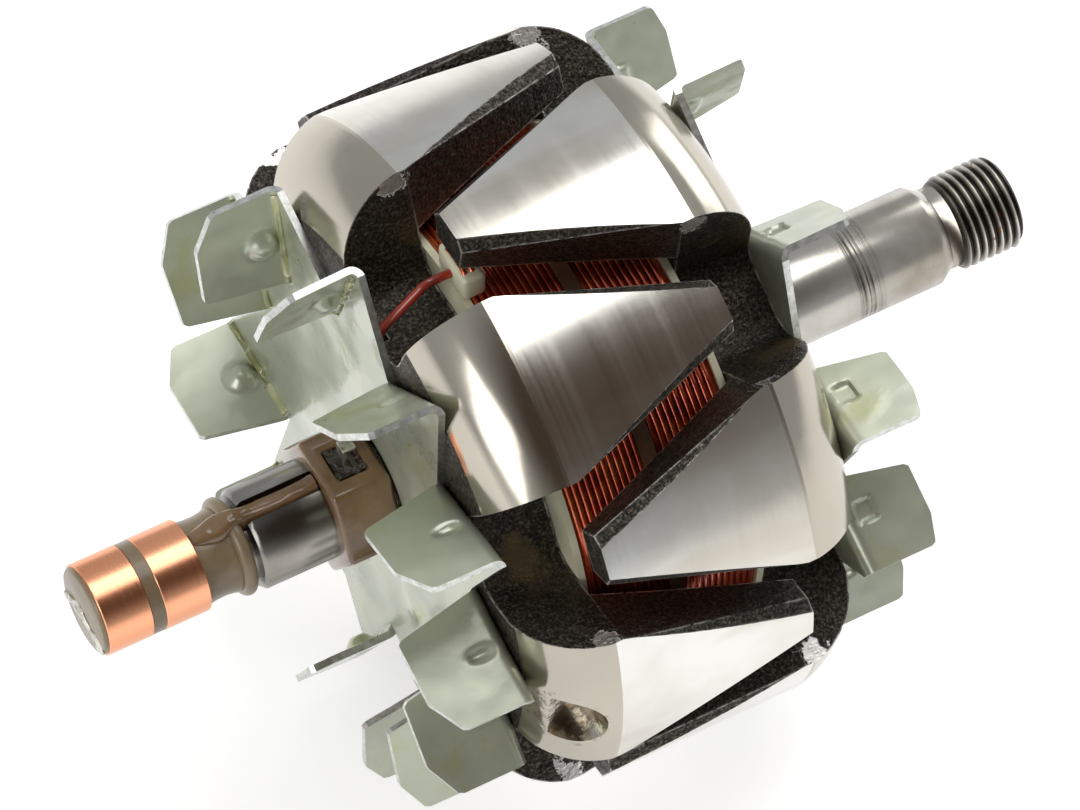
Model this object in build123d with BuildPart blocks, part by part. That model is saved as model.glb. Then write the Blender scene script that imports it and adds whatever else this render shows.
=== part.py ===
from build123d import *
from math import cos, radians, sin, tan
import os

os.makedirs("parts", exist_ok=True)

# The shaft lies along X, with the pulley end at +X and the slip rings at -X.
# The origin is the middle of the drive-end bearing seat.
# Angles go round the shaft from +Y towards +Z.

# Shaft
journal_dia = 17.0
thread_dia = 16.0
thread_length = 11.0
neck_dia = 14.0
neck_length = 2.2
seat_length = 16.0
seat_chamfer_length = 2.2
seat_chamfer_height = 1.4
thread_chamfer = 1.0
core_dia = 20.0
core_overhang = 1.0
stub_dia = 10.0
journal_length = 13.0
journal_chamfer = 0.7
tail_dia = 13.0
collar_seat_dia = 16.6
slot_width = 4.0
slot_depth = 3.0
slot_angle = 93.0

# Claw poles
pole_dia = 115.0
pole_length = 59.4
pole_centre = -61.0
claws = 6
first_slip_claw = 59.0
first_drive_claw = 29.0
land_half = 18.3
face_dia = 90.0
shoulder_bulge = 1.9
hub_dia = 74.0
yoke_dia = 58.0
window_half = 16.3
claw_root_width = 28.0
claw_tip_width = 5.4
claw_reach = 16.4
claw_root_thickness = 11.3
claw_tip_thickness = 6.6
claw_draft = 9.0
claw_bevel = 2.0
claw_bevel_angle = 38.0
valley_fillet = 5.0
root_overlap = 1.0
press_gap = 0.1

# Balance drilling in one shoulder of the slip-ring half
drill_dia = 11.0
drill_sink = 6.6
drill_angle = 182.0
drill_offset = -25.5

# Bobbin and winding
bobbin_wall = 1.4
flange_wall = 1.2
flange_room = 3.6
tape_width = 2.6
tape_wall = 0.25
soft_gap = 0.2

# Stamped fans
sheet = 1.2
blade_tip_radius = 51.8
blade_chord = 20.0
blade_lean = 26.0
blade_height = 14.6
blade_outer_height = 11.2
blade_crest = 0.36
blade_slant = 3.0
slip_blade_angles = [23, 51, 84, 114, 143, 174, 198, 223, 243, 273, 311, 341]
drive_blade_angles = [36, 75, 114, 151, 183, 214, 250, 287, 322, 359]
drive_blade_chord = 16.5
drive_blade_height = 12.6
slip_fan_hole = 23.0
fan_hole_gap = 0.15

# Slip rings and their moulding
ring_dia = 15.6
ring_bore = 12.4
ring_width = 7.9
ring_space = 2.2
ring_space_recess = 0.3
end_disc = 0.7
neck_moulding_dia = 13.8
neck_moulding_length = 6.0
collar_flange_dia = 16.8
collar_flange_width = 2.4
flange_gap = 1.0
strip_width = 3.3
strip_gap = 0.15
contact_width = 2.0
contact_height = 0.5

# Terminal collar and leads
collar_across = 24.5
collar_length = 10.2
collar_ridge_angle = 123.0
pocket_width = 6.0
pocket_length = 5.0
pocket_floor_dia = 18.6
hook_width = 2.4
hook_sheet = 0.8
hook_height = 3.0
lead_dia = 1.5
lead_angle = 89.0
lead_run = 4.5
lead_bend = 2.4
lead_groove_width = 2.2
lead_groove_depth = 2.0
clip_width = 9.0
clip_length = 4.0
clip_height = 5.0

# Places along X, worked out from the sizes
seat_end = seat_length / 2
neck_start = seat_end + seat_chamfer_length
thread_start = neck_start + neck_length
shaft_end = thread_start + thread_length
slip_face = pole_centre - pole_length / 2
drive_face = pole_centre + pole_length / 2
slip_fan_outside = slip_face - sheet
collar_start = slip_fan_outside - soft_gap
collar_end = collar_start - collar_length
journal_start = collar_end
journal_end = journal_start - journal_length
flange_start = journal_end - flange_gap
flange_end = flange_start - collar_flange_width
inner_ring_start = flange_end - neck_moulding_length
inner_ring_end = inner_ring_start - ring_width
outer_ring_start = inner_ring_end - ring_space
outer_ring_end = outer_ring_start - ring_width
shaft_start = outer_ring_end - end_disc + contact_height
claw_root_inside = pole_dia / 2 - claw_root_thickness
claw_tip_inside = pole_dia / 2 - claw_tip_thickness
flange_dia = 2 * (claw_root_inside - flange_room)
coil_dia = flange_dia


def radial_plane(angle):
    """The plane through the shaft's axis whose local x is +X and local y points outwards at the angle."""
    a = radians(angle)
    return Plane(origin=(0, 0, 0), x_dir=(1, 0, 0), z_dir=(0, -sin(a), cos(a)))


def outward_plane(angle, distance, along=0.0):
    """The plane square to the outward direction, with local x along +X."""
    a = radians(angle)
    place = (along, distance * cos(a), distance * sin(a))
    return Plane(origin=place, x_dir=(1, 0, 0), z_dir=(0, cos(a), sin(a)))


def finish(builder, name):
    builder.part.label = name
    export_step(builder.part, f"parts/{name}.step")


# Shaft: a turned bar with a ground seat at each end and a press core in the poles
with BuildPart() as shaft:
    with BuildSketch(Plane.XZ):
        with BuildLine():
            Polyline(
                (shaft_start, 0),
                (shaft_start, stub_dia / 2),
                (flange_start, stub_dia / 2),
                (flange_start, tail_dia / 2),
                (journal_end, tail_dia / 2),
                (journal_end, journal_dia / 2 - journal_chamfer),
                (journal_end + journal_chamfer, journal_dia / 2),
                (journal_start, journal_dia / 2),
                (journal_start, collar_seat_dia / 2),
                (slip_face - core_overhang, collar_seat_dia / 2),
                (slip_face - core_overhang, core_dia / 2),
                (drive_face + core_overhang, core_dia / 2),
                (drive_face + core_overhang, journal_dia / 2),
                (seat_end, journal_dia / 2),
                (neck_start, journal_dia / 2 - seat_chamfer_height),
                (neck_start, neck_dia / 2),
                (thread_start, neck_dia / 2),
                (thread_start + thread_chamfer, thread_dia / 2),
                (shaft_end - thread_chamfer, thread_dia / 2),
                (shaft_end, thread_dia / 2 - thread_chamfer),
                (shaft_end, 0),
                close=True,
            )
        make_face()
    revolve(axis=Axis.X)
    slot_middle = (flange_start + collar_end) / 2
    slot_run = collar_end - flange_start
    for angle in (slot_angle, slot_angle + 180):
        with BuildSketch(outward_plane(angle, journal_dia / 2 - slot_depth, slot_middle)):
            Rectangle(slot_run, slot_width)
        extrude(amount=slot_depth * 2, mode=Mode.SUBTRACT)
finish(shaft, "shaft")


def claw_ring(side):
    """The turned form of one half: side is -1 at the slip rings and +1 at the drive end."""
    with BuildPart() as ring:
        with BuildSketch(Plane.XZ):
            with BuildLine():
                face = (pole_centre + side * pole_length / 2, face_dia / 2)
                land = (pole_centre + side * land_half, pole_dia / 2)
                middle_x = (face[0] + land[0]) / 2 + side * shoulder_bulge
                middle_r = (face[1] + land[1]) / 2 + shoulder_bulge
                root = (pole_centre + side * window_half, claw_root_inside)
                tip = (pole_centre - side * claw_reach, claw_tip_inside)
                ThreePointArc(face, (middle_x, middle_r), land)
                Polyline(
                    land,
                    (tip[0], pole_dia / 2),
                    tip,
                    root,
                    (root[0], core_dia / 2),
                    (face[0], core_dia / 2),
                    face,
                )
            make_face()
        revolve(axis=Axis.X)
    return ring.part


def claw(side):
    """One tapered claw at angle 0: a bevelled outer face above flanks that draw in towards the shaft."""
    root_end = side * land_half
    window = side * window_half
    tip = -side * claw_reach
    foot = claw_root_width / 2 - root_overlap
    with BuildSketch() as outline:
        with BuildLine():
            Polyline(
                (root_end, -foot),
                (window, -claw_root_width / 2),
                (tip, -claw_tip_width / 2),
                (tip, claw_tip_width / 2),
                (window, claw_root_width / 2),
                (root_end, foot),
                close=True,
            )
        make_face()
    with BuildSketch() as wider:
        add(outline.sketch)
        offset(amount=claw_bevel * tan(radians(claw_bevel_angle)), kind=Kind.INTERSECTION)
    bevel_floor = pole_dia / 2 - claw_bevel
    with BuildPart() as block:
        with BuildSketch(outward_plane(0, bevel_floor, pole_centre)):
            add(wider.sketch)
        with BuildSketch(outward_plane(0, pole_dia / 2 + claw_bevel, pole_centre)):
            add(outline.sketch)
            offset(amount=-claw_bevel * tan(radians(claw_bevel_angle)), kind=Kind.INTERSECTION)
        loft()
        with BuildSketch(outward_plane(0, bevel_floor, pole_centre)) as flank_outline:
            add(wider.sketch)
        extrude(flank_outline.sketch, amount=hub_dia / 2 - bevel_floor, taper=claw_draft)
        add(claw_ring(side), mode=Mode.INTERSECT)
    return block.part


def hub_disc(side):
    """The disc behind the claws: rounded valleys between six roots."""
    face = pole_centre + side * pole_length / 2
    window = pole_centre + side * window_half
    step = press_gap
    bevel_run = claw_bevel * tan(radians(claw_bevel_angle))
    widest = claw_root_width / 2 + step + bevel_run
    top = claw_root_width / 2 + step - bevel_run
    flank_run = pole_dia / 2 - claw_bevel - hub_dia / 4
    foot = widest - flank_run * tan(radians(claw_draft))
    with BuildPart() as disc:
        with BuildSketch(Plane.YZ.offset(face)):
            for number in range(claws):
                with BuildSketch(Plane.XY, mode=Mode.PRIVATE) as root:
                    with BuildLine():
                        Polyline(
                            (hub_dia / 4, -foot),
                            (pole_dia / 2 - claw_bevel, -widest),
                            (pole_dia / 2 + claw_bevel, -top),
                            (pole_dia / 2 + claw_bevel, top),
                            (pole_dia / 2 - claw_bevel, widest),
                            (hub_dia / 4, foot),
                            close=True,
                        )
                    make_face()
                add(root.sketch, rotation=number * 360 / claws)
            Circle(hub_dia / 2)
            Circle(core_dia / 2 + press_gap, mode=Mode.SUBTRACT)
        extrude(amount=window - face)
        valleys = [e for e in disc.edges().filter_by(Axis.X) if abs(e.center().Y ** 2 + e.center().Z ** 2 - hub_dia ** 2 / 4) < 1]
        fillet(valleys, radius=valley_fillet)
        add(claw_ring(side), mode=Mode.INTERSECT)
    return disc.part


def pole_half(side, first_claw):
    """Hub disc, half of the yoke that the winding sits on, and the ring of claws."""
    window = pole_centre + side * window_half
    with BuildPart() as half:
        with BuildSketch(Plane.XZ):
            with BuildLine():
                Polyline(
                    (window, core_dia / 2 + press_gap),
                    (window, yoke_dia / 2),
                    (pole_centre, yoke_dia / 2),
                    (pole_centre, core_dia / 2 + press_gap),
                    close=True,
                )
            make_face()
        revolve(axis=Axis.X)
        add(hub_disc(side).rotate(Axis.X, first_claw))
        one_claw = claw(side)
        for number in range(claws):
            add(one_claw.rotate(Axis.X, first_claw + number * 360 / claws))
    return half.part


with BuildPart() as slip_ring_end_pole:
    add(pole_half(-1, first_slip_claw))
    with BuildSketch(outward_plane(drill_angle, pole_dia / 2 - drill_sink, pole_centre + drill_offset)):
        Circle(drill_dia / 2)
    extrude(amount=2 * drill_sink, mode=Mode.SUBTRACT)
    for angle in (lead_angle, lead_angle + 180):
        with BuildSketch(outward_plane(angle, core_dia / 2 + press_gap, slip_face)):
            Rectangle(2 * lead_groove_depth, lead_groove_width)
        extrude(amount=hub_dia / 2, mode=Mode.SUBTRACT)
finish(slip_ring_end_pole, "slip_ring_end_pole")

with BuildPart() as drive_end_pole:
    add(pole_half(1, first_drive_claw))
finish(drive_end_pole, "drive_end_pole")

# Bobbin: a spool between the two hub discs
window_width = 2 * window_half - 2 * soft_gap
with BuildPart() as bobbin:
    with BuildSketch(Plane.XZ):
        with BuildLine():
            inner = yoke_dia / 2 + soft_gap
            barrel = inner + bobbin_wall
            left = pole_centre - window_width / 2
            right = pole_centre + window_width / 2
            Polyline(
                (left, inner),
                (left, flange_dia / 2),
                (left + flange_wall, flange_dia / 2),
                (left + flange_wall, barrel),
                (right - flange_wall, barrel),
                (right - flange_wall, flange_dia / 2),
                (right, flange_dia / 2),
                (right, inner),
                close=True,
            )
        make_face()
    revolve(axis=Axis.X)
finish(bobbin, "bobbin")

# Winding: one solid with the outer shape of all its turns
coil_half = window_width / 2 - flange_wall
with BuildPart() as field_coil:
    with BuildSketch(Plane.XZ):
        with Locations((pole_centre, (barrel + coil_dia / 2) / 2)):
            Rectangle(2 * coil_half, coil_dia / 2 - barrel)
    revolve(axis=Axis.X)
finish(field_coil, "field_coil")

with BuildPart() as coil_tape:
    with BuildSketch(Plane.XZ):
        with Locations((pole_centre + tape_width / 2 - 1, coil_dia / 2 + tape_wall / 2)):
            Rectangle(tape_width, tape_wall)
    revolve(axis=Axis.X)
finish(coil_tape, "coil_tape")


def inner_corner(outer_angle, chord):
    """Where a blade's bend line ends nearest the shaft, as local y and z."""
    a = radians(outer_angle)
    b = radians(outer_angle + 180 + blade_lean)
    return (
        blade_tip_radius * cos(a) + chord * cos(b),
        blade_tip_radius * sin(a) + chord * sin(b),
    )


def fan(face, side, angles, chord, height, hole):
    """A stamped fan: a saw-toothed sheet against the pole's face, with a blade bent up on each tooth."""
    outside = face + side * sheet
    with BuildPart() as stamped:
        with BuildSketch(Plane.YZ.offset(face)):
            with BuildLine():
                outline = []
                for angle in angles:
                    a = radians(angle)
                    outline.append(inner_corner(angle, chord))
                    outline.append((blade_tip_radius * cos(a), blade_tip_radius * sin(a)))
                Polyline(*outline, close=True)
            make_face()
            Circle(hole / 2, mode=Mode.SUBTRACT)
        extrude(amount=side * sheet)
        for angle in angles:
            a = radians(angle)
            b = radians(angle + 180 + blade_lean)
            corner = (face, blade_tip_radius * cos(a), blade_tip_radius * sin(a))
            across = (0, side * sin(b), -side * cos(b))
            blade_plane = Plane(origin=corner, x_dir=(0, cos(b), sin(b)), z_dir=across)
            with BuildSketch(blade_plane):
                with BuildLine():
                    Polyline(
                        (0, 0),
                        (0, blade_outer_height + sheet),
                        (chord * blade_crest, height + sheet),
                        (chord - blade_slant, height + sheet),
                        (chord, 0),
                        close=True,
                    )
                make_face()
            extrude(amount=side * sheet)
    return stamped.part


with BuildPart() as slip_ring_end_fan:
    add(fan(slip_face, -1, slip_blade_angles, blade_chord, blade_height, slip_fan_hole))
finish(slip_ring_end_fan, "slip_ring_end_fan")

with BuildPart() as drive_end_fan:
    drive_hole = core_dia + 2 * fan_hole_gap
    add(fan(drive_face, 1, drive_blade_angles, drive_blade_chord, drive_blade_height, drive_hole))
finish(drive_end_fan, "drive_end_fan")


def collar_ring(start, end, bore, outside):
    """A plain turned ring between two places along the shaft."""
    with BuildPart() as ring:
        with BuildSketch(Plane.YZ.offset(end)):
            Circle(outside / 2)
            Circle(bore / 2, mode=Mode.SUBTRACT)
        extrude(amount=start - end)
    return ring.part


with BuildPart() as outer_slip_ring:
    add(collar_ring(outer_ring_start, outer_ring_end, ring_bore, ring_dia))
finish(outer_slip_ring, "outer_slip_ring")

with BuildPart() as inner_slip_ring:
    add(collar_ring(inner_ring_start, inner_ring_end, ring_bore, ring_dia))
finish(inner_slip_ring, "inner_slip_ring")

# Moulding that carries the rings: end disc, barrel, spacer, neck and rounded flange
with BuildPart() as ring_insulator:
    with BuildSketch(Plane.XZ):
        with BuildLine():
            bore = stub_dia / 2
            Polyline(
                (outer_ring_end - end_disc, bore),
                (outer_ring_end - end_disc, ring_dia / 2 - 0.5),
                (outer_ring_end, ring_dia / 2 - 0.3),
                (outer_ring_end, ring_bore / 2),
                (outer_ring_start, ring_bore / 2),
                (outer_ring_start, ring_dia / 2 - ring_space_recess),
                (inner_ring_end, ring_dia / 2 - ring_space_recess),
                (inner_ring_end, ring_bore / 2),
                (inner_ring_start, ring_bore / 2),
                (inner_ring_start, neck_moulding_dia / 2),
                (flange_end, neck_moulding_dia / 2),
                (flange_end, collar_flange_dia / 2),
                (flange_start, collar_flange_dia / 2),
                (flange_start, bore),
                close=True,
            )
        make_face()
    revolve(axis=Axis.X)
    with BuildSketch(Plane.YZ.offset(outer_ring_end - end_disc)):
        Circle(stub_dia / 2)
    extrude(amount=contact_height)
finish(ring_insulator, "ring_insulator")

# Contact bar soldered across the end disc
with BuildPart() as tip_contact:
    with BuildSketch(Plane.YZ.offset(outer_ring_end - end_disc)):
        Rectangle(contact_width, ring_dia - 2.0)
    extrude(amount=-contact_height)
finish(tip_contact, "tip_contact")

# Conductor strips in the two slots of the rear journal
for name, angle in (("conductor_strip_a", slot_angle), ("conductor_strip_b", slot_angle + 180)):
    strip_run = collar_end - flange_start - 2 * strip_gap
    strip_height = slot_depth - 2 * strip_gap
    with BuildPart() as strip:
        with BuildSketch(outward_plane(angle, journal_dia / 2 - slot_depth + strip_gap, slot_middle)):
            Rectangle(strip_run, strip_width)
        extrude(amount=strip_height)
    finish(strip, name)

# Terminal collar: a six-sided moulding against the fan with a pocket for each lead
with BuildPart() as terminal_collar:
    with BuildSketch(Plane.YZ.offset(collar_end)):
        RegularPolygon(collar_across / 2, 6, rotation=collar_ridge_angle)
        Circle(collar_seat_dia / 2 + fan_hole_gap, mode=Mode.SUBTRACT)
    extrude(amount=collar_length)
    for angle in (slot_angle, slot_angle + 180):
        with BuildSketch(outward_plane(angle, pocket_floor_dia / 2, (collar_start + collar_end) / 2)):
            Rectangle(pocket_length, pocket_width)
        extrude(amount=collar_across / 2, mode=Mode.SUBTRACT)
finish(terminal_collar, "terminal_collar")


def hook(angle):
    """A folded sheet hook standing in its pocket, where the lead is crimped."""
    base = pocket_floor_dia / 2 + strip_gap
    middle = (collar_start + collar_end) / 2
    with BuildPart() as folded:
        with BuildSketch(outward_plane(angle, base, middle)):
            Rectangle(hook_sheet, hook_width)
        extrude(amount=hook_height)
        with BuildSketch(outward_plane(angle, base + hook_height, middle + hook_sheet)):
            Rectangle(3 * hook_sheet, hook_width)
        extrude(amount=hook_sheet)
    return folded


def lead(angle):
    """A sleeved lead from the collar, along the groove in the pole's face, up the valley to its clip."""
    wire = radial_plane(angle)
    groove_x = slip_face + lead_dia / 2 + 0.3
    start_r = collar_across / 2 - 1.0
    valley_r = hub_dia / 2 + lead_dia
    clip_start = pole_centre - window_half + soft_gap
    clip_r = flange_dia / 2 + soft_gap + clip_height / 2
    with BuildPart() as sleeved:
        with BuildLine(wire) as route:
            FilletPolyline(
                (groove_x, start_r),
                (groove_x, valley_r),
                (clip_start - lead_run, clip_r),
                (clip_start, clip_r),
                radius=lead_bend,
            )
        with BuildSketch(Plane(origin=route.line @ 0, z_dir=route.line % 0)):
            Circle(lead_dia / 2)
        sweep(path=route.line)
    return sleeved


def clip(angle):
    """The moulded clip on the bobbin's flange that the lead passes into."""
    base = flange_dia / 2 + soft_gap
    start = pole_centre - window_half + soft_gap
    with BuildPart() as moulded:
        with BuildSketch(outward_plane(angle, base, start + clip_length / 2)):
            Rectangle(clip_length, clip_width)
        extrude(amount=clip_height)
    return moulded


for ending, angle in (("a", lead_angle), ("b", lead_angle + 180)):
    finish(hook(angle), f"terminal_hook_{ending}")
    finish(lead(angle), f"lead_{ending}")
    finish(clip(angle), f"lead_clip_{ending}")
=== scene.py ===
import bmesh
import bpy
import math
from mathutils import Matrix, Vector, noise


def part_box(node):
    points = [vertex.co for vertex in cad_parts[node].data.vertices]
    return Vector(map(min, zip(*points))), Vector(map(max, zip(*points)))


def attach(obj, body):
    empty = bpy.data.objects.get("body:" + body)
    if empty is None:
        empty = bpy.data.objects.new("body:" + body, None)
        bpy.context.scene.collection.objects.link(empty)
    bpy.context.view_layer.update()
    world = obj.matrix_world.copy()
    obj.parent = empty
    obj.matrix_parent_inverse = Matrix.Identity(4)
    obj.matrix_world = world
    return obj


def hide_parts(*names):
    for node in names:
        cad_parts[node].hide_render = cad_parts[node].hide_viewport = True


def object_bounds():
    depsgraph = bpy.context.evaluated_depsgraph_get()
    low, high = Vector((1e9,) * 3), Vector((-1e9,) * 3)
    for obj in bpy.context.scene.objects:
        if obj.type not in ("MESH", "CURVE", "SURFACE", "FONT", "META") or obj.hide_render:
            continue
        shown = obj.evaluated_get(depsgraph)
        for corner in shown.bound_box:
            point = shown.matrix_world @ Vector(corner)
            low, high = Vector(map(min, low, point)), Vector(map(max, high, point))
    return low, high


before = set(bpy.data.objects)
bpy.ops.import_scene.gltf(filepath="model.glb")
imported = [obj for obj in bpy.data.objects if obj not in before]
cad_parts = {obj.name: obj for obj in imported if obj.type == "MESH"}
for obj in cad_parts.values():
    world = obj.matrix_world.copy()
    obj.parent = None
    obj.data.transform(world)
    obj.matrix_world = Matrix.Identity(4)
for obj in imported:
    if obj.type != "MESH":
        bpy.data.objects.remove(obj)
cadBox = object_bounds()
print("frame loaded:", len(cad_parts), "nodes")


# helpers for node materials

class Shader:
    # a small wrapper so that each finish reads as a recipe
    def __init__(self, name):
        self.mat = bpy.data.materials.new(name)
        self.mat.use_nodes = True
        self.tree = self.mat.node_tree
        self.bsdf = self.tree.nodes["Principled BSDF"]
        self.coord = self.tree.nodes.new("ShaderNodeTexCoord")

    def put(self, kind, **settings):
        node = self.tree.nodes.new(kind)
        for key, value in settings.items():
            setattr(node, key, value)
        return node

    def join(self, fromSocket, toSocket):
        self.tree.links.new(fromSocket, toSocket)

    def objectCoords(self, stretch):
        mapping = self.put("ShaderNodeMapping")
        mapping.inputs["Scale"].default_value = stretch
        self.join(self.coord.outputs["Object"], mapping.inputs["Vector"])
        return mapping.outputs["Vector"]

    def noise(self, scale, detail=4.0, rough=0.55, stretch=(1, 1, 1)):
        node = self.put("ShaderNodeTexNoise")
        node.inputs["Scale"].default_value = scale
        node.inputs["Detail"].default_value = detail
        node.inputs["Roughness"].default_value = rough
        self.join(self.objectCoords(stretch), node.inputs["Vector"])
        return node.outputs["Fac"]

    def ramp(self, source, stops):
        node = self.put("ShaderNodeValToRGB")
        band = node.color_ramp
        while len(band.elements) < len(stops):
            band.elements.new(0.5)
        for element, (place, colour) in zip(band.elements, stops):
            element.position = place
            element.color = (*colour, 1)
        self.join(source, node.inputs["Fac"])
        return node.outputs["Color"]

    def spread(self, source, low, high, fromLow=0.0, fromHigh=1.0):
        node = self.put("ShaderNodeMapRange")
        node.inputs["From Min"].default_value = fromLow
        node.inputs["From Max"].default_value = fromHigh
        node.inputs["To Min"].default_value = low
        node.inputs["To Max"].default_value = high
        self.join(source, node.inputs["Value"])
        return node.outputs["Result"]

    def sums(self, operation, first, second=None):
        node = self.put("ShaderNodeMath", operation=operation)
        for index, value in enumerate((first, second)):
            if value is None:
                continue
            if isinstance(value, (int, float)):
                node.inputs[index].default_value = value
            else:
                self.join(value, node.inputs[index])
        return node.outputs["Value"]

    def blend(self, factor, first, second):
        # a colour that goes from the first to the second
        node = self.put("ShaderNodeMix", data_type="RGBA")
        self.join(factor, node.inputs["Factor"])
        for key, value in (("A", first), ("B", second)):
            socket = next(s for s in node.inputs if s.name == key and s.type == "RGBA")
            if isinstance(value, tuple):
                socket.default_value = (*value, 1)
            else:
                self.join(value, socket)
        return next(s for s in node.outputs if s.type == "RGBA")

    def bump(self, height, strength, distance):
        node = self.put("ShaderNodeBump")
        node.inputs["Strength"].default_value = strength
        node.inputs["Distance"].default_value = distance
        self.join(height, node.inputs["Height"])
        return node.outputs["Normal"]

    def choose(self, factor, first, second):
        # a number that goes from the first to the second value
        node = self.put("ShaderNodeMix")
        for key, value in (("Factor", factor), ("A", first), ("B", second)):
            self.join(value, node.inputs[key])
        return node.outputs["Result"]

    def between(self, source, low, high):
        # 1 where the source lies between two values, 0 elsewhere
        above = self.sums("GREATER_THAN", source, low)
        return self.sums("MULTIPLY", above, self.sums("LESS_THAN", source, high))

    def parts(self, which="Object"):
        # X, Y and Z of the place, or of the normal
        node = self.put("ShaderNodeSeparateXYZ")
        self.join(self.coord.outputs[which], node.inputs["Vector"])
        return node.outputs

    def radius(self):
        # distance from the shaft's axis, in metres
        place = self.parts()
        squares = [self.sums("MULTIPLY", place[axis], place[axis]) for axis in ("Y", "Z")]
        return self.sums("SQRT", self.sums("ADD", squares[0], squares[1]))

    def along(self):
        return self.parts()["X"]

    def outwardness(self):
        # how far the surface faces straight out from the shaft, and how far it leans sideways
        place, normal = self.parts(), self.parts("Normal")
        radius = self.radius()

        def times(axis, other):
            return self.sums("MULTIPLY", place[axis], normal[other])

        straight = self.sums("ADD", times("Y", "Y"), times("Z", "Z"))
        sideways = self.sums("SUBTRACT", times("Y", "Z"), times("Z", "Y"))
        straight = self.sums("DIVIDE", straight, radius)
        sideways = self.sums("ABSOLUTE", self.sums("DIVIDE", sideways, radius))
        return straight, sideways

    def edgeWearAndHighlight(self, reach):
        # bright where the surface turns within the reach, a painted edge highlight as well as edge wear:
        # the bevelled normal differs from the true one
        soft = self.put("ShaderNodeBevel", samples=6)
        soft.inputs["Radius"].default_value = reach
        true = self.put("ShaderNodeNewGeometry")
        cross = self.put("ShaderNodeVectorMath", operation="DOT_PRODUCT")
        self.join(soft.outputs["Normal"], cross.inputs[0])
        self.join(true.outputs["Normal"], cross.inputs[1])
        return self.spread(cross.outputs["Value"], 1, 0, 0.90, 0.985)

    def turned(self):
        # the tangent of a turned surface, so that highlights spread along the shaft
        tangent = self.put("ShaderNodeTangent", direction_type="RADIAL", axis="X")
        self.join(tangent.outputs["Tangent"], self.bsdf.inputs["Tangent"])

    def colour(self, source):
        self.set("Base Color", source)

    def set(self, socket, value):
        if isinstance(value, (int, float)):
            self.bsdf.inputs[socket].default_value = value
        else:
            self.join(value, self.bsdf.inputs[socket])


turnedLook = {"fine": 1500.0, "wide": 170.0}  # tool marks per metre, near enough


def rings(s, scale, detail=5.0):
    # rings of tone round the shaft, as a turning tool leaves them
    node = s.put("ShaderNodeTexNoise", noise_dimensions="1D")
    node.inputs["Scale"].default_value = scale
    node.inputs["Detail"].default_value = detail
    s.join(s.along(), node.inputs["W"])
    return node.outputs["Fac"]


poleLook = {
    "bright": (0.77, 0.762, 0.725),
    "warm": (0.55, 0.50, 0.42),
    "shoulder": (0.44, 0.41, 0.345),
    "black": (0.006, 0.005, 0.005),
    "brown": (0.058, 0.047, 0.033),
    "spark": (0.21, 0.19, 0.155),
    # the edges' colour: worn bare metal together with a painted edge highlight
    "wear": (0.86, 0.84, 0.80),
    "resin": (0.17, 0.125, 0.055),
    "rust": (0.15, 0.085, 0.045),
    "land": (-0.0787, -0.0433),  # where the shoulders meet the cylinder, along X
    "rim": 0.0445,  # turned surfaces lie outside this radius
    "drill": (-0.0865, -0.0530, -0.0019),
    "drillReach": 0.0072,
    # worn corners where each half's claws meet its rim: place along X, radius, first angle
    "corners": [
        (-0.0798, 0.0560, 74.0),
        (-0.0798, 0.0560, 44.0),
        (-0.0425, 0.0560, 45.0),
        (-0.0425, 0.0560, 14.5),
    ],
    "cornerReach": 0.0074,
    "cornerRagged": 0.0105,
    "edgeReach": 0.0006,
    "grain": 2100.0,
    "lumps": 480.0,
    "relief": 0.00026,
}


def cornerPolish(s):
    # patches of bare steel at the corners between the claws
    place = s.parts()
    turn = s.sums("ARCTAN2", place["Z"], place["Y"])
    mask = None
    for x, r, first in poleLook["corners"]:
        ahead = s.sums("SUBTRACT", turn, math.radians(first))
        # the six claws of a half repeat every 60 degrees
        step = s.sums("PINGPONG", s.sums("ADD", ahead, math.tau), math.pi / 6)
        gap = s.sums("MULTIPLY", step, r)
        away = s.sums("SUBTRACT", place["X"], x)
        fall = s.sums("SUBTRACT", s.radius(), r)
        squares = [s.sums("MULTIPLY", v, v) for v in (gap, away, fall)]
        far = s.sums("SQRT", s.sums("ADD", s.sums("ADD", squares[0], squares[1]), squares[2]))
        ragged = s.sums("ADD", far, s.sums("MULTIPLY", s.noise(210.0, 5.0, 0.7), poleLook["cornerRagged"]))
        one = s.spread(ragged, 1, 0, poleLook["cornerReach"], poleLook["cornerReach"] + 0.0003)
        mask = one if mask is None else s.sums("MAXIMUM", mask, one)
    return mask


def turnedPart(s):
    # masks of the turned surfaces and of the drilling
    straight, sideways = s.outwardness()
    facing = s.sums("MULTIPLY", s.sums("GREATER_THAN", straight, 0.22), s.sums("LESS_THAN", sideways, 0.10))
    machined = s.sums("MULTIPLY", facing, s.sums("GREATER_THAN", s.radius(), poleLook["rim"]))
    away = s.put("ShaderNodeVectorMath", operation="DISTANCE")
    s.join(s.coord.outputs["Object"], away.inputs[0])
    away.inputs[1].default_value = poleLook["drill"]
    drilled = s.sums("LESS_THAN", away.outputs["Value"], poleLook["drillReach"])
    return s.sums("MAXIMUM", machined, drilled), drilled


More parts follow.
